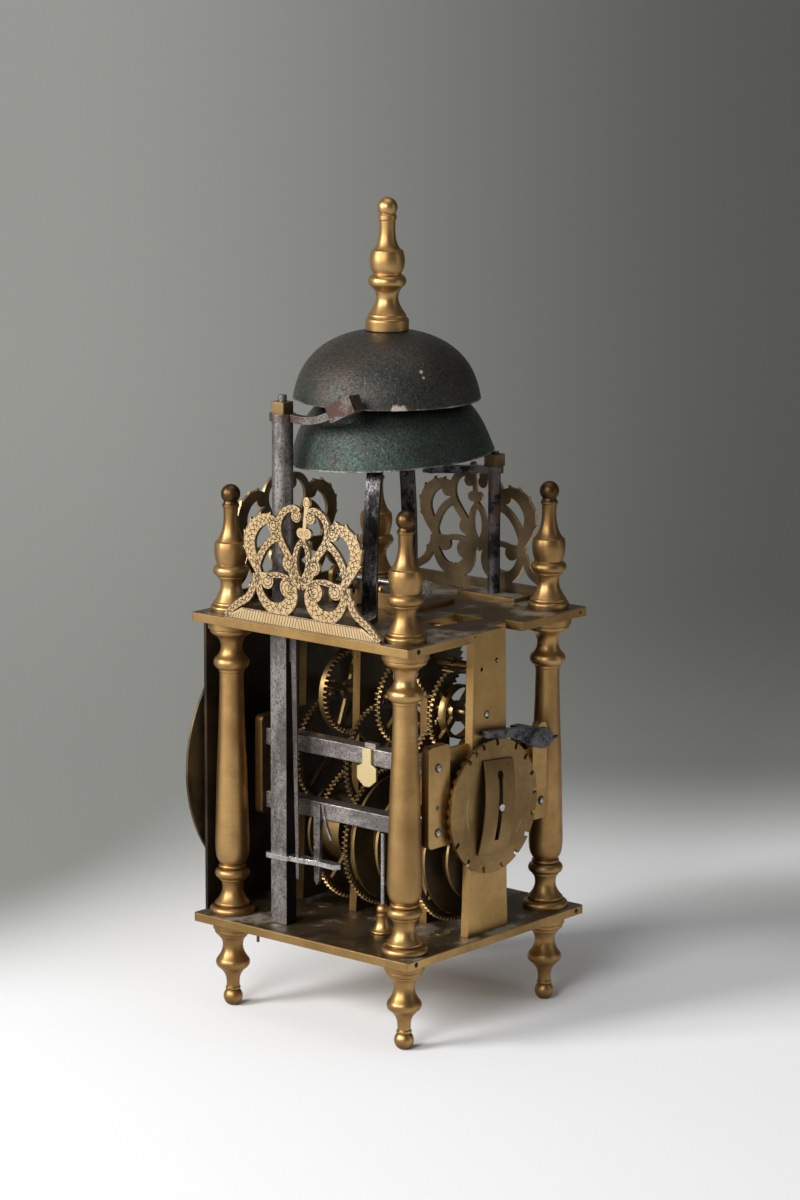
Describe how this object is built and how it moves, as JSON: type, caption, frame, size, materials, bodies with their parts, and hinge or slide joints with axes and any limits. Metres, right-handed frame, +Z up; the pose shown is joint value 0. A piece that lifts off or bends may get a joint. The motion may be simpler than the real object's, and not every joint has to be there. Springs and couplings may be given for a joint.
{
  "type": "lantern clock",
  "caption": "Brass lantern clock with turned corner pillars, pierced frets, a pair of bells with hammers, and its weight-driven trains open at the sides and back.",
  "frame": {"origin": "on the surface the feet stand on, under the middle of the clock's bounding box", "axes": "+Z up, dial facing -Y, count wheel at the back facing +Y, +X to the right as the dial is seen"},
  "size_m": [0.16, 0.1754, 0.4685],
  "materials": {
    "turned_brass": "satin",
    "plate_brass": "satin, dull",
    "fret_brass": "engraved, satin",
    "wheel_brass": "satin, dark",
    "dial_brass": "satin",
    "nut_brass": "filed",
    "hammer_iron": "rough, coppery brown",
    "arbor_iron": "pitted, grey",
    "strap_iron": "black, polished",
    "bright_steel": "polished ends",
    "lower_bell": "dark green patina",
    "upper_bell": "dark grey-brown patina"
  },
  "bodies": {
    "case": {"bottom_plate": "plate_brass", "top_plate": "plate_brass", "plate_plugs": "nut_brass", "pillar_front_right": "turned_brass", "pillar_front_left": "turned_brass", "pillar_rear_right": "turned_brass", "pillar_rear_left": "turned_brass", "feet": "turned_brass", "finials": "turned_brass", "front_bar": "plate_brass", "middle_bar": "plate_brass", "inner_bar": "plate_brass", "rear_bar": "plate_brass", "crown_potence": "plate_brass", "verge_cocks": "plate_brass", "quarter_bracket": "plate_brass", "front_plate": "plate_brass", "dial": "dial_brass", "chapter_ring": "dial_brass", "right_fret": "fret_brass", "left_fret": "fret_brass", "front_fret": "fret_brass", "bell_strap": "strap_iron", "bell_stud": "bright_steel", "bell_spacers": "nut_brass", "spire": "turned_brass", "lower_bell": "lower_bell", "upper_bell": "upper_bell", "count_stud": "bright_steel", "count_spring": "wheel_brass", "lock_knob": "turned_brass", "lock_rod": "bright_steel"},
    "going_great": {"going_great_wheel": "wheel_brass"},
    "going_second": {"going_second_wheel": "wheel_brass"},
    "contrate": {"contrate_wheel": "wheel_brass"},
    "crown": {"crown_wheel": "wheel_brass"},
    "verge_arbor": {"verge": "bright_steel"},
    "hand": {"motion_wheel": "wheel_brass", "hour_hand": "strap_iron"},
    "hour_great": {"hour_great_wheel": "wheel_brass"},
    "hour_second": {"hour_second_wheel": "wheel_brass"},
    "hour_third": {"hour_third_wheel": "wheel_brass"},
    "hour_fly_arbor": {"hour_fly": "wheel_brass"},
    "quarter_great": {"quarter_great_wheel": "wheel_brass"},
    "quarter_second": {"quarter_second_wheel": "wheel_brass"},
    "quarter_third": {"quarter_third_wheel": "wheel_brass"},
    "quarter_fly_arbor": {"quarter_fly": "wheel_brass"},
    "count": {"count_wheel": "wheel_brass"},
    "hour_hammer_arbor": {"hour_hammer_post": "arbor_iron", "hour_hammer": "hammer_iron", "hour_hammer_nut": "nut_brass", "hour_hammer_tail": "arbor_iron", "hour_hammer_strip": "bright_steel"},
    "quarter_hammer_arbor": {"quarter_hammer_post": "arbor_iron", "quarter_hammer": "hammer_iron", "quarter_hammer_nut": "nut_brass"},
    "upper_lever_arbor": {"upper_lever": "arbor_iron", "lifting_tab": "nut_brass"},
    "lower_lever_arbor": {"lower_lever": "arbor_iron"},
    "detent_arbor": {"count_detent": "arbor_iron"}
  },
  "joints": [
    {"name": "going_great_turn", "type": "hinge", "parent": "case", "child": "going_great", "pos_m": [0, 0.0038, 0.1], "axis": [0, 1, 0], "continuous": true},
    {"name": "going_second_turn", "type": "hinge", "parent": "case", "child": "going_second", "pos_m": [0, 0.0038, 0.145], "axis": [0, 1, 0], "continuous": true},
    {"name": "contrate_turn", "type": "hinge", "parent": "case", "child": "contrate", "pos_m": [0, 0.0038, 0.1815], "axis": [0, 1, 0], "continuous": true},
    {"name": "crown_turn", "type": "hinge", "parent": "case", "child": "crown", "pos_m": [0, -0.0194, 0.24], "axis": [0, 0, 1], "continuous": true},
    {"name": "hand_turn", "type": "hinge", "parent": "case", "child": "hand", "pos_m": [0, 0.0038, 0.138], "axis": [0, 1, 0], "continuous": true},
    {"name": "verge_swing", "type": "hinge", "parent": "case", "child": "verge_arbor", "pos_m": [0, 0.0038, 0.2486], "axis": [0, 1, 0], "range_deg": [-25, 25]},
    {"name": "hour_great_turn", "type": "hinge", "parent": "case", "child": "hour_great", "pos_m": [0, 0.0038, 0.1], "axis": [0, 1, 0], "continuous": true},
    {"name": "hour_second_turn", "type": "hinge", "parent": "case", "child": "hour_second", "pos_m": [0, 0.0038, 0.145], "axis": [0, 1, 0], "continuous": true},
    {"name": "hour_third_turn", "type": "hinge", "parent": "case", "child": "hour_third", "pos_m": [0, 0.0038, 0.1815], "axis": [0, 1, 0], "continuous": true},
    {"name": "hour_fly_turn", "type": "hinge", "parent": "case", "child": "hour_fly_arbor", "pos_m": [0, 0.0038, 0.21], "axis": [0, 1, 0], "continuous": true},
    {"name": "quarter_great_turn", "type": "hinge", "parent": "case", "child": "quarter_great", "pos_m": [0, 0.0038, 0.1], "axis": [0, 1, 0], "continuous": true},
    {"name": "quarter_second_turn", "type": "hinge", "parent": "case", "child": "quarter_second", "pos_m": [0, 0.0038, 0.145], "axis": [0, 1, 0], "continuous": true},
    {"name": "quarter_third_turn", "type": "hinge", "parent": "case", "child": "quarter_third", "pos_m": [0.0017, 0.0038, 0.18146], "axis": [0, 1, 0], "continuous": true},
    {"name": "quarter_fly_turn", "type": "hinge", "parent": "case", "child": "quarter_fly_arbor", "pos_m": [0.007, 0.0038, 0.20946], "axis": [0, 1, 0], "continuous": true},
    {"name": "count_turn", "type": "hinge", "parent": "case", "child": "count", "pos_m": [0.0006, 0.0038, 0.13029], "axis": [0, 1, 0], "continuous": true},
    {"name": "hour_hammer_swing", "type": "hinge", "parent": "case", "child": "hour_hammer_arbor", "pos_m": [0.0617, -0.0232, 0.2], "axis": [0, 0, 1], "range_deg": [-20, 2]},
    {"name": "quarter_hammer_swing", "type": "hinge", "parent": "case", "child": "quarter_hammer_arbor", "pos_m": [-0.0675, 0.0253, 0.2], "axis": [0, 0, 1], "range_deg": [-3, 12]},
    {"name": "upper_lever_turn", "type": "hinge", "parent": "case", "child": "upper_lever_arbor", "pos_m": [0.045, 0.0038, 0.1597], "axis": [0, 1, 0], "range_deg": [-10, 12]},
    {"name": "lower_lever_turn", "type": "hinge", "parent": "case", "child": "lower_lever_arbor", "pos_m": [0.045, 0.0038, 0.1226], "axis": [0, 1, 0], "range_deg": [-6, 10]},
    {"name": "detent_lift", "type": "hinge", "parent": "case", "child": "detent_arbor", "pos_m": [-0.0479, 0.0038, 0.1236], "axis": [0, 1, 0], "range_deg": [-6, 0]}
  ],
  "couplings": [
    {"joint": "going_second_turn", "follows": "going_great_turn", "ratio": -8},
    {"joint": "contrate_turn", "follows": "going_great_turn", "ratio": 65},
    {"joint": "crown_turn", "follows": "going_great_turn", "ratio": 390},
    {"joint": "hand_turn", "follows": "going_great_turn", "ratio": -0.26667},
    {"joint": "hour_second_turn", "follows": "hour_great_turn", "ratio": -8},
    {"joint": "hour_third_turn", "follows": "hour_great_turn", "ratio": 65},
    {"joint": "hour_fly_turn", "follows": "hour_great_turn", "ratio": -464.29},
    {"joint": "quarter_second_turn", "follows": "quarter_great_turn", "ratio": -8},
    {"joint": "quarter_third_turn", "follows": "quarter_great_turn", "ratio": 65},
    {"joint": "quarter_fly_turn", "follows": "quarter_great_turn", "ratio": -464.29},
    {"joint": "count_turn", "follows": "quarter_great_turn", "ratio": 0.09589}
  ]
}
